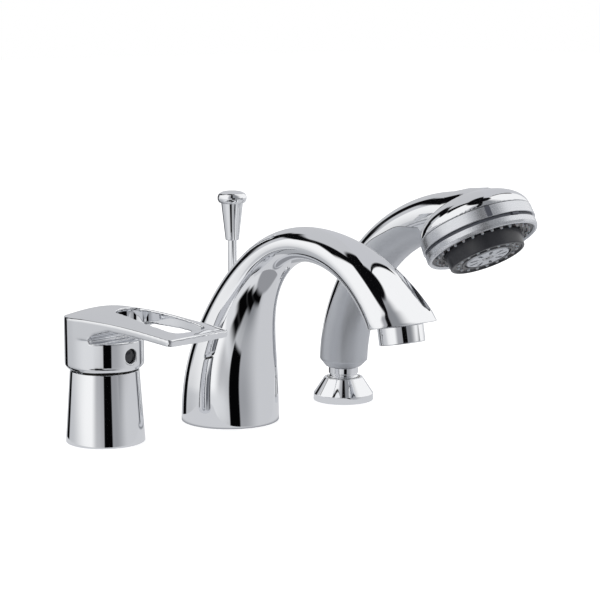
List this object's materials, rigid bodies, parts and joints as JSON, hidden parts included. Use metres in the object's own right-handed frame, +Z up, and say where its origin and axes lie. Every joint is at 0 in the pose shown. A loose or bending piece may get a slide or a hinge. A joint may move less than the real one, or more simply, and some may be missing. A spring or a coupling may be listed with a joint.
{
  "type": "three-hole bath mixer tap",
  "caption": "Deck-mounted bath mixer: loop lever control, arched spout with pull-up diverter knob, and a hand shower with a turning spray face parked in a cone holder.",
  "frame": {"origin": "centre of the spout's seat on the deck", "axes": "+X along the row of holes from the control to the hand shower, -Y the way the spout points, +Z up out of the deck"},
  "size_m": [0.251, 0.207, 0.1985],
  "materials": {
    "polished_chrome": "mirror polished",
    "plated_plastic": "bright plated",
    "satin_plastic": "satin silver",
    "grip_plastic": "fine satin grey",
    "dark_plastic": "semi-gloss",
    "groove_plastic": "matt",
    "white_plastic": "smooth",
    "turned_brass": "machined",
    "stainless": "turned",
    "spring_steel": "drawn wire",
    "black_rubber": "moulded",
    "grey_silicone": "moulded",
    "alumina": "ground ceramic"
  },
  "bodies": {
    "deck_units": {"aerator_housing": "polished_chrome", "aerator_insert": "white_plastic", "aerator_washer": "black_rubber", "cartridge_base": "white_plastic", "cartridge_housing": "white_plastic", "cartridge_nut": "turned_brass", "cartridge_port_seals": "black_rubber", "control_backnut": "turned_brass", "control_body": "turned_brass", "control_clamp_washer": "black_rubber", "control_gasket": "black_rubber", "control_skirt": "polished_chrome", "control_thrust_ring": "stainless", "diverter_body": "turned_brass", "diverter_gland_nut": "turned_brass", "diverter_spring": "spring_steel", "fixed_disc": "alumina", "gland_seal": "black_rubber", "holder_backnut": "turned_brass", "holder_bush": "white_plastic", "holder_clamp_washer": "black_rubber", "holder_cone": "polished_chrome", "holder_gasket": "black_rubber", "holder_shank": "turned_brass", "holder_thrust_ring": "stainless", "rod_guide": "polished_chrome", "skirt_seal": "black_rubber", "spout_backnut": "turned_brass", "spout_clamp_washer": "black_rubber", "spout_gasket": "black_rubber", "spout_shell": "polished_chrome", "spout_thrust_ring": "stainless"},
    "turner": {"temperature_carrier": "white_plastic", "pivot_pin": "stainless"},
    "lever": {"lever_handle": "polished_chrome", "lever_stem": "stainless", "lever_grub_screw": "stainless"},
    "disc": {"moving_disc": "alumina", "disc_driver": "white_plastic"},
    "diverter": {"diverter_knob": "polished_chrome", "diverter_rod": "polished_chrome", "diverter_piston": "turned_brass", "piston_seal": "black_rubber"},
    "hose_end": {"hose_coupling": "polished_chrome", "coupling_washer": "black_rubber"},
    "handset": {"handset_grip": "grip_plastic", "handset_back_shell": "plated_plastic", "water_tube": "white_plastic", "mode_collar": "satin_plastic", "mode_pointer": "dark_plastic", "channel_plate": "white_plastic"},
    "selector": {"selector_ring": "satin_plastic", "grip_band": "groove_plastic", "spray_plate": "dark_plastic", "nozzle_mat": "grey_silicone", "centre_disc": "dark_plastic", "face_screw": "stainless", "face_seal": "black_rubber"}
  },
  "joints": [
    {"name": "lever_turn", "type": "hinge", "parent": "deck_units", "child": "turner", "pos_m": [-0.095, 0, 0.04], "axis": [0, 0, 1], "range_deg": [-58.4, 41.6]},
    {"name": "lever_tilt", "type": "hinge", "parent": "turner", "child": "lever", "pos_m": [-0.095, 0, 0.037], "axis": [-0.9893, -0.1461, 0], "range_deg": [0, 25]},
    {"name": "disc_slide", "type": "slide", "parent": "turner", "child": "disc", "axis": [0.1461, -0.9893, 0], "range_m": [0, 0.00359]},
    {"name": "diverter_lift", "type": "slide", "parent": "deck_units", "child": "diverter", "axis": [0, 0, 1], "range_m": [0, 0.01], "stiffness_N_per_m": 150, "springref_m": -0.008, "deforming": ["diverter_spring"]},
    {"name": "handset_lift", "type": "slide", "parent": "deck_units", "child": "hose_end", "axis": [0, 0, 1], "range_m": [0, 0.15]},
    {"name": "handset_turn", "type": "hinge", "parent": "hose_end", "child": "handset", "pos_m": [0.095, 0, 0.0225], "axis": [0, 0, 1], "range_deg": [-12, 150]},
    {"name": "selector_turn", "type": "hinge", "parent": "handset", "child": "selector", "pos_m": [0.095, -0.1297, 0.1157], "axis": [0, -0.503, -0.8643], "range_deg": [-60, 60]}
  ],
  "couplings": [
    {"joint": "disc_slide", "follows": "lever_tilt", "m_per_rad": 0.0082328}
  ]
}
